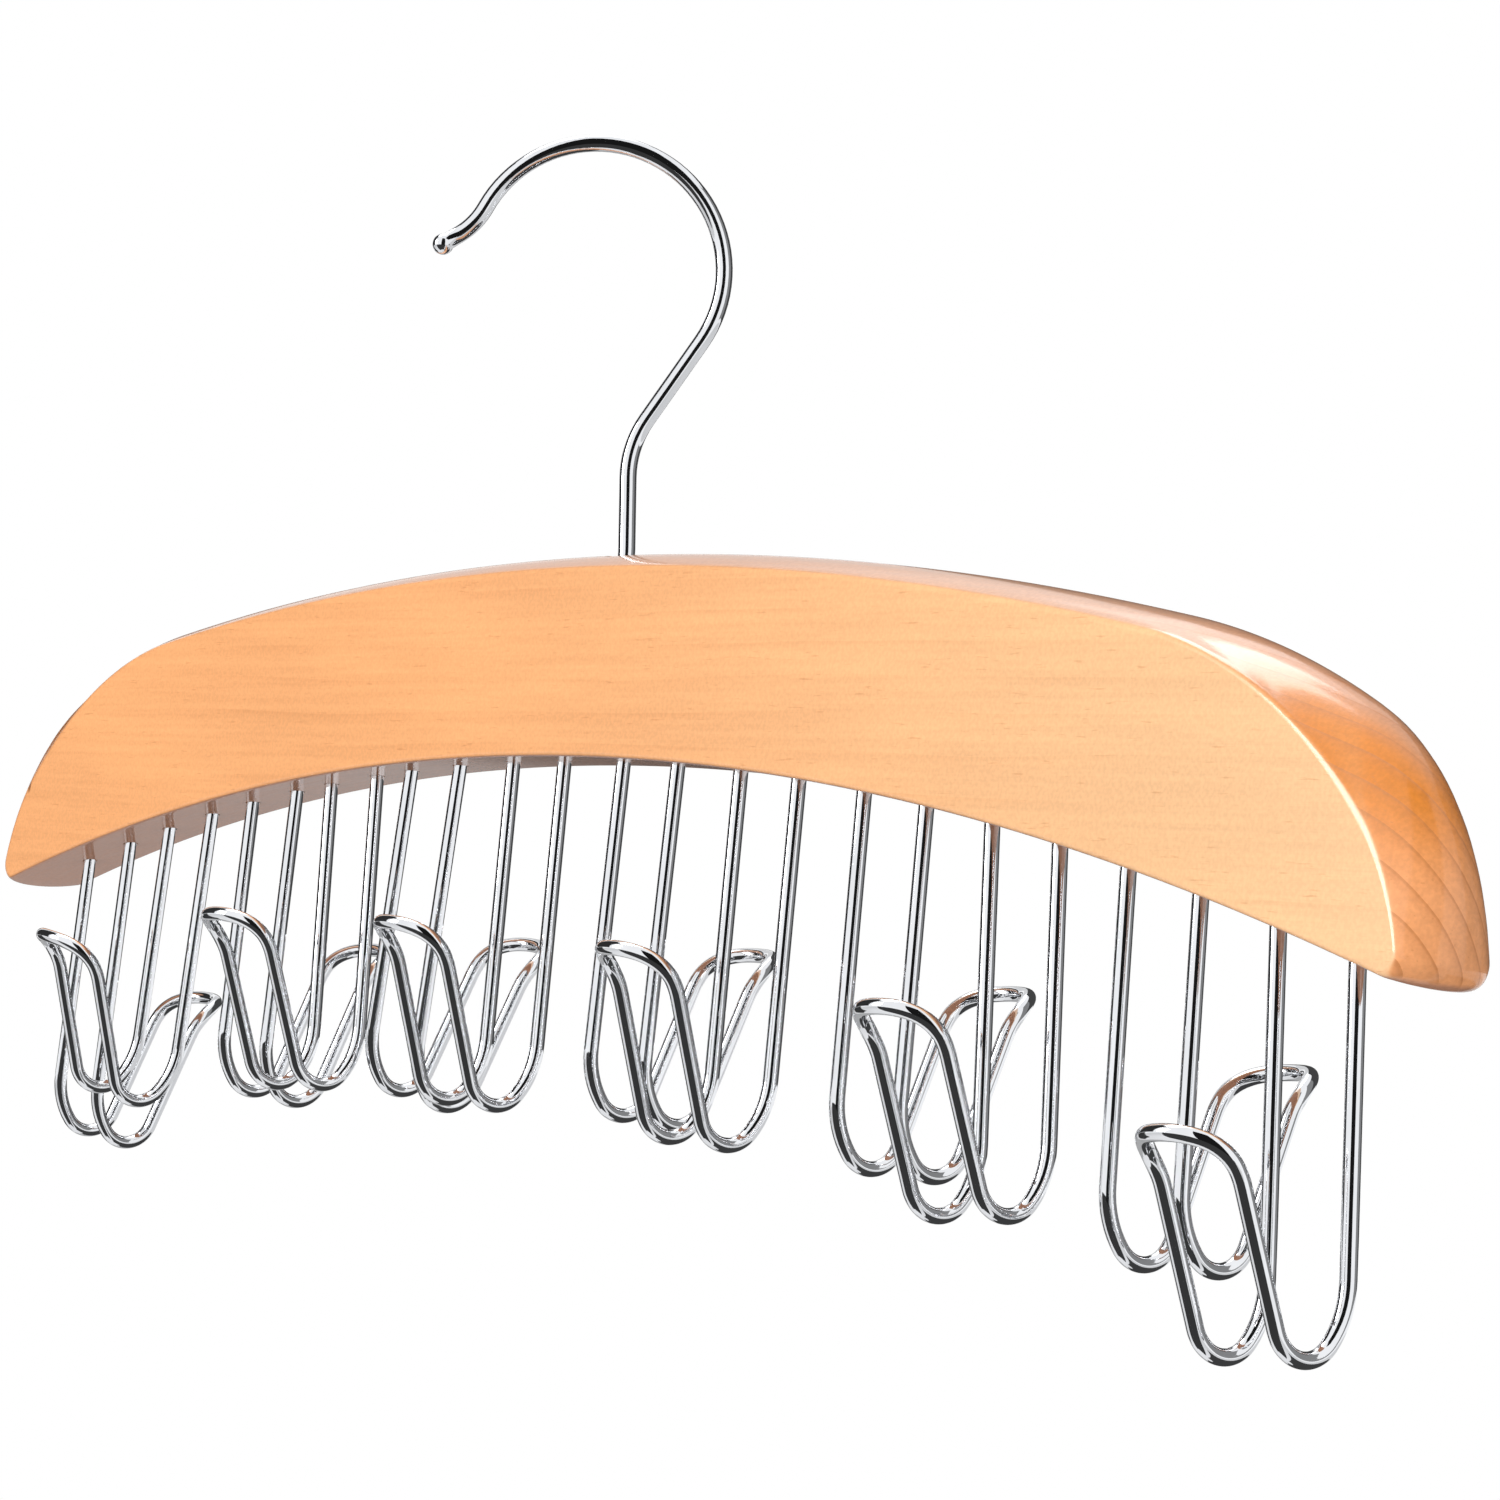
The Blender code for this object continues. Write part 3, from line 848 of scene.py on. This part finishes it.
def knotted(shader, finish, colour):
    """The colour with one small dark knot on the front face."""
    squeeze = (1, 1, KNOT_SQUEEZE)
    gap = shader.node("ShaderNodeVectorMath", {"operation": "DISTANCE"})
    shader.put(gap.inputs[0], shader.stretched(squeeze))
    shader.put(gap.inputs[1], KNOT_PLACE * Vector(squeeze))
    edge = [share * finish.knot_radius for share in KNOT_EDGE]
    knot = shader.ranged(gap.outputs["Value"], *edge, KNOT_COVER, 0)
    return shader.mixed(knot, colour, opaque([KNOT_SHADE * value for value in finish.line_colour]))


def varnished_wood(finish):
    """Pale fine wood under clear gloss varnish: growth lines, fibres, pores and darker end grain."""
    shader = Shader("gloss_varnished_wood")
    facing = shader.node("ShaderNodeSeparateXYZ", Vector=shader.coordinates["Normal"]).outputs
    end_grain = shader.ranged(shader.maths("ABSOLUTE", facing["X"]), *END_FACING)
    underside = shader.ranged(facing["Z"], *UNDERSIDE_FACING)
    fibre = shader.noise(FIBRE_SCALE, detail=3.0, roughness=0.6)

    colour = stained_and_shaded(shader, finish, facing, end_grain, underside)
    above = shader.maths("SUBTRACT", 1.0, underside)
    colour = lined(shader, finish, colour, shader.maths("MULTIPLY", end_grain, above))
    colour = grained(shader, finish, colour, fibre)
    return shader.dressed(
        Base_Color=knotted(shader, finish, colour),
        Roughness=shader.ranged(fibre, *FIBRE_ROUGHNESS),
        Specular_IOR_Level=WOOD_SPECULAR,
        Coat_Weight=finish.varnish,
        Coat_Roughness=finish.varnish_roughness,
        Coat_IOR=VARNISH_IOR,
        Normal=shader.bumped(fibre, *FIBRE_BUMP),
        Coat_Normal=shader.bumped(fibre, *VARNISH_BUMP),
    )


# The plating's clouds and pits, named as the wood's are, with roughness as shares of the finish's own
PLATING_SCALE = (260, 260, 90)
PLATING_SHADE = (0.3, 0.7, 0.96, 1.03)
PLATING_SPAN = (0.35, 0.65)
PLATING_ROUGHNESS = (0.6, 1.5)
PLATING_BUMP = (0.0002, 0.12)
PIT_SCALE = (1900, 1900, 1900)
PIT_DEPTH = (0.30, 0.36, 1, 0)
PIT_ROUGHNESS = 0.05


def bright_chrome(finish):
    """Bright plating with faint draw marks and small pits."""
    shader = Shader("bright_chrome")
    cloud = shader.noise(PLATING_SCALE, detail=3.0)
    pits = shader.ranged(shader.noise(PIT_SCALE), *PIT_DEPTH)
    rough = [share * finish.chrome_roughness for share in PLATING_ROUGHNESS]
    polish = shader.ranged(cloud, *PLATING_SPAN, *rough)
    return shader.dressed(
        Base_Color=shader.shaded(opaque(finish.chrome_colour), shader.ranged(cloud, *PLATING_SHADE)),
        Metallic=1,
        Roughness=shader.maths("ADD", polish, shader.maths("MULTIPLY", pits, PIT_ROUGHNESS)),
        Normal=shader.bumped(cloud, *PLATING_BUMP),
    )


# The rings that the lathe leaves, in the same way
LATHE_RING_SCALE = 1500.0
LATHE_WANDER = 0.6
LATHE_SPAN = (0.2, 0.8)
LATHE_SHADE = (0.9, 1.05)
LATHE_ROUGHNESS = (0.8, 1.2)
LATHE_BUMP = (0.0001, 0.1)


def turned_steel(finish):
    """Plain steel with the fine rings that a lathe leaves round the bush's axis."""
    shader = Shader("lathe_turned_steel")
    rings = shader.node(
        "ShaderNodeTexWave",
        {"wave_type": "RINGS", "rings_direction": "Z"},
        Vector=shader.coordinates["Object"],
        Scale=LATHE_RING_SCALE,
        Distortion=LATHE_WANDER,
    ).outputs["Fac"]
    shade = shader.ranged(rings, *LATHE_SPAN, *LATHE_SHADE)
    rough = [share * finish.steel_roughness for share in LATHE_ROUGHNESS]
    return shader.dressed(
        Base_Color=shader.shaded(opaque(finish.steel_colour), shade),
        Metallic=1,
        Roughness=shader.ranged(rings, *LATHE_SPAN, *rough),
        Normal=shader.bumped(rings, *LATHE_BUMP),
    )


# Studio

# Panels that the chrome mirrors as streaks: degrees of azimuth, degrees of elevation and their grey
FLAGS = {
    "camera_flag": ((38, 80), (-20, 56), 0.01),
    "front_left_flag": ((-94, -40), (-10, 50), 0.03),
    "back_left_flag": ((-128, -100), (-12, 7), 0.03),
    "right_flag": ((122, 160), (-10, 50), 0.25),
    "back_flag": ((160, 232), (-10, 50), 0.06),
    "low_flag": ((-18, 84), (-72, -15), 0.04),
    "low_edge_flag": ((-94, -64), (-46, -11), 0.04),
    "low_left_flag": ((-128, -100), (-60, -12), 0.43),
    "high_back_flag": ((205, 262), (12, 30), 0.7),
    "low_back_flag": ((100, 232), (-76, -30), 0.05),
}
# Bright panels that the varnish mirrors, with the setting for their brightness and how much of it they have
STRIPS = {
    "overhead_strip": ((246, 317), (54, 74), "glow", 1.15),
    "edge_strip": ((329, 347), (-4, 28), "glow", 1.6),
    "soft_wing": ((222, 246), (40, 76), "wing", 1.0),
}
PANEL_DISTANCE = 1.1
PANEL_STEP = radians(10)
# Place of the key light and length of its sides
KEY_LIGHT = {"azimuth": radians(2), "elevation": radians(36), "distance": 1.6, "size": 0.55}
FLOOR_SIDES = 96
FLOOR_ROUGHNESS = 0.9
FLOOR_SPECULAR = 0.1


def direction(azimuth, elevation):
    """The way out from the object at an azimuth, where 0 is in front of it, and an elevation."""
    return Vector((sin(azimuth) * cos(elevation), -cos(azimuth) * cos(elevation), sin(elevation)))


def add_camera(settings):
    """The camera at the photograph's angle. It looks past the middle of the bar's underside."""
    sizes = grouped(bpy.context).bar
    back = direction(settings.azimuth, settings.elevation)
    right = Vector((cos(settings.azimuth), sin(settings.azimuth), 0))
    up = back.cross(right)
    turn = Matrix.Rotation(settings.roll, 3, back)
    right, up = turn @ right, turn @ up
    underside = Vector((0, 0, BAR_HIGH.z - sizes.height - sizes.top_swell))
    aim = underside + settings.aim_right * right + settings.aim_up * up
    place = Matrix((right, up, back)).transposed().to_4x4()
    camera = in_scene("photo_camera", bpy.data.cameras.new("photo_camera"))
    camera.data.lens = settings.lens
    camera.matrix_world = Matrix.Translation(aim + settings.distance * back) @ place
    bpy.context.scene.camera = camera


def add_softbox(name, power, azimuth, elevation, distance, size):
    """A square soft lamp that faces the object."""
    light = bpy.data.lights.new(name, "AREA")
    light.shape = "SQUARE"
    light.size = size
    light.energy = power
    lamp = in_scene(name, light)
    way = direction(azimuth, elevation)
    lamp.matrix_world = Matrix.Translation(distance * way) @ way.to_track_quat("Z", "Y").to_matrix().to_4x4()
    lamp.visible_glossy = False


def glowing(name, brightness):
    """A material that gives even white light."""
    material = bpy.data.materials.new(name)
    material.use_nodes = True
    nodes = material.node_tree.nodes
    nodes.remove(nodes["Principled BSDF"])
    glow = nodes.new("ShaderNodeEmission")
    glow.inputs["Color"].default_value = opaque(WHITE)
    glow.inputs["Strength"].default_value = brightness
    material.node_tree.links.new(glow.outputs[0], nodes["Material Output"].inputs["Surface"])
    return material


def add_panel(name, azimuths, elevations, brightness):
    """A stretch of a studio wall round the object, which only polished surfaces see. Angles are degrees."""
    start, end = (radians(value) for value in azimuths)
    turn = end - start
    solid = bmesh.new()
    corners = [PANEL_DISTANCE * direction(start, radians(value)) for value in elevations]
    edge = solid.edges.new([solid.verts.new(corner) for corner in corners])
    bmesh.ops.spin(
        solid,
        geom=[edge],
        cent=(0, 0, 0),
        axis=Z_AXIS,
        angle=turn,
        steps=max(1, ceil(turn / PANEL_STEP)),
        use_merge=False,
        use_duplicate=False,
    )
    panel = in_scene(name, mesh_of(name, solid))
    panel.data.materials.append(glowing(name, brightness))
    panel.visible_camera = False
    panel.visible_diffuse = False
    panel.visible_shadow = False


def add_floor(settings):
    """A round pale floor, well below the hanger."""
    solid = bmesh.new()
    drop = Matrix.Translation((0, 0, CAD_LOW.z - settings.floor_drop))
    radius = settings.floor_radius
    bmesh.ops.create_circle(solid, cap_ends=True, segments=FLOOR_SIDES, radius=radius, matrix=drop)
    floor = in_scene("floor", mesh_of("floor", solid))
    material = Shader("pale_floor").dressed(
        Base_Color=opaque(settings.floor_colour),
        Roughness=FLOOR_ROUGHNESS,
        Specular_IOR_Level=FLOOR_SPECULAR,
    )
    floor.data.materials.append(material)


def set_world(settings):
    """White where the camera and polished surfaces look, and a softer white as light on the object."""
    world = bpy.context.scene.world or bpy.data.worlds.new("studio")
    bpy.context.scene.world = world
    world.use_nodes = True
    tree = world.node_tree
    tree.nodes.clear()
    path = tree.nodes.new("ShaderNodeLightPath").outputs
    seen = path["Is Camera Ray"]
    for name in ("Is Glossy Ray", "Is Transmission Ray"):
        either = tree.nodes.new("ShaderNodeMath")
        either.operation = "MAXIMUM"
        tree.links.new(seen, either.inputs[0])
        tree.links.new(path[name], either.inputs[1])
        seen = either.outputs[0]
    mix = tree.nodes.new("ShaderNodeMixShader")
    tree.links.new(seen, mix.inputs[0])
    for socket, strength in zip(list(mix.inputs)[1:], (settings.surround, 1)):
        background = tree.nodes.new("ShaderNodeBackground")
        background.inputs["Color"].default_value = opaque(WHITE)
        background.inputs["Strength"].default_value = strength
        tree.links.new(background.outputs[0], socket)
    output = tree.nodes.new("ShaderNodeOutputWorld")
    tree.links.new(mix.outputs[0], output.inputs["Surface"])


# Operators, the sidebar and the run

class BELTHANGER_OT_bar(Operator):
    """Adds the varnished bar with the holes of its wires"""

    bl_idname = "belt_hanger.bar"
    bl_label = "Add varnished bar"

    def execute(self, context):
        settings = grouped(context)
        mesh = bar_mesh(settings.bar, varnished_wood(settings.wood))
        piece = add_piece("varnished_bar", mesh, "bar", "wooden_bar")
        cut_holes(piece, add_hole_cutter(settings.bar))
        return {"FINISHED"}


class BELTHANGER_OT_swivel_hook(Operator):
    """Adds the round wire hook that the bar turns on"""

    bl_idname = "belt_hanger.swivel_hook"
    bl_label = "Add swivel hook"

    def execute(self, context):
        settings = grouped(context)
        mesh = swivel_hook_mesh(settings.swivel_hook, bright_chrome(settings.metal))
        add_piece("chromed_swivel_hook", mesh, "hook", "swivel_hook")
        return {"FINISHED"}


class BELTHANGER_OT_belt_hooks(Operator):
    """Adds the row of bent wire belt hooks"""

    bl_idname = "belt_hanger.belt_hooks"
    bl_label = "Add belt hooks"

    def execute(self, context):
        settings = grouped(context)
        material = bright_chrome(settings.metal)
        for node in BELT_HOOKS:
            place, pitch = belt_hook_place(node)
            name = f"chromed_{node}"
            mesh = belt_hook_mesh(settings.belt_hook, pitch, material, name, place)
            add_piece(name, mesh, "bar", node)
        return {"FINISHED"}


class BELTHANGER_OT_bush(Operator):
    """Gives the swivel bush in the bar's top its turned steel"""

    bl_idname = "belt_hanger.bush"
    bl_label = "Dress swivel bush"

    def execute(self, context):
        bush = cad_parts["swivel_bush"]
        bush.data.materials.clear()
        bush.data.materials.append(turned_steel(grouped(context).metal))
        return {"FINISHED"}


class BELTHANGER_OT_studio(Operator):
    """Sets up the floor, the soft light, the dark flags and the camera"""

    bl_idname = "belt_hanger.studio"
    bl_label = "Set up studio"

    def execute(self, context):
        settings = grouped(context).studio
        context.scene.view_settings.view_transform = "Standard"
        set_world(settings)
        add_floor(settings)
        add_softbox("key_light", settings.key_power, **KEY_LIGHT)
        for name, (azimuths, elevations, grey) in FLAGS.items():
            add_panel(name, azimuths, elevations, grey)
        for name, (azimuths, elevations, setting, share) in STRIPS.items():
            add_panel(name, azimuths, elevations, share * getattr(settings, setting))
        add_camera(settings)
        return {"FINISHED"}


class BELTHANGER_PT_sidebar(Panel):
    """Lists the hanger's pieces and the sizes and colours that they are made from"""

    bl_idname = "BELTHANGER_PT_sidebar"
    bl_label = "Belt hanger"
    bl_space_type = "VIEW_3D"
    bl_region_type = "UI"
    bl_category = "Belt hanger"

    def draw(self, context):
        settings = grouped(context)
        for operator in OPERATORS:
            self.layout.operator(operator.bl_idname)
        for group in ("bar", "swivel_hook", "belt_hook", "wood", "metal", "studio"):
            box = self.layout.box()
            box.label(text=settings.bl_rna.properties[group].name)
            values = getattr(settings, group)
            for name in values.bl_rna.properties.keys():
                if name not in ("name", "rna_type"):
                    box.prop(values, name)


GROUPS = (
    BarSizes,
    SwivelHookSizes,
    BeltHookSizes,
    WoodFinish,
    MetalFinish,
    StudioSettings,
    BeltHangerSettings,
)
OPERATORS = (
    BELTHANGER_OT_bar,
    BELTHANGER_OT_swivel_hook,
    BELTHANGER_OT_belt_hooks,
    BELTHANGER_OT_bush,
    BELTHANGER_OT_studio,
)


def register():
    for cls in (*GROUPS, *OPERATORS, BELTHANGER_PT_sidebar):
        bpy.utils.register_class(cls)
    bpy.types.Scene.belt_hanger = group_property(
        BeltHangerSettings, "Belt hanger", "Sizes, colours and studio of the belt hanger"
    )


def unregister():
    del bpy.types.Scene.belt_hanger
    for cls in (BELTHANGER_PT_sidebar, *reversed(OPERATORS), *reversed(GROUPS)):
        bpy.utils.unregister_class(cls)


def main():
    """Dresses the hanger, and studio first."""
    register()
    bpy.ops.belt_hanger.studio()
    bpy.ops.belt_hanger.bar()
    bpy.ops.belt_hanger.swivel_hook()
    bpy.ops.belt_hanger.belt_hooks()
    bpy.ops.belt_hanger.bush()


if __name__ == "__main__":
    main()
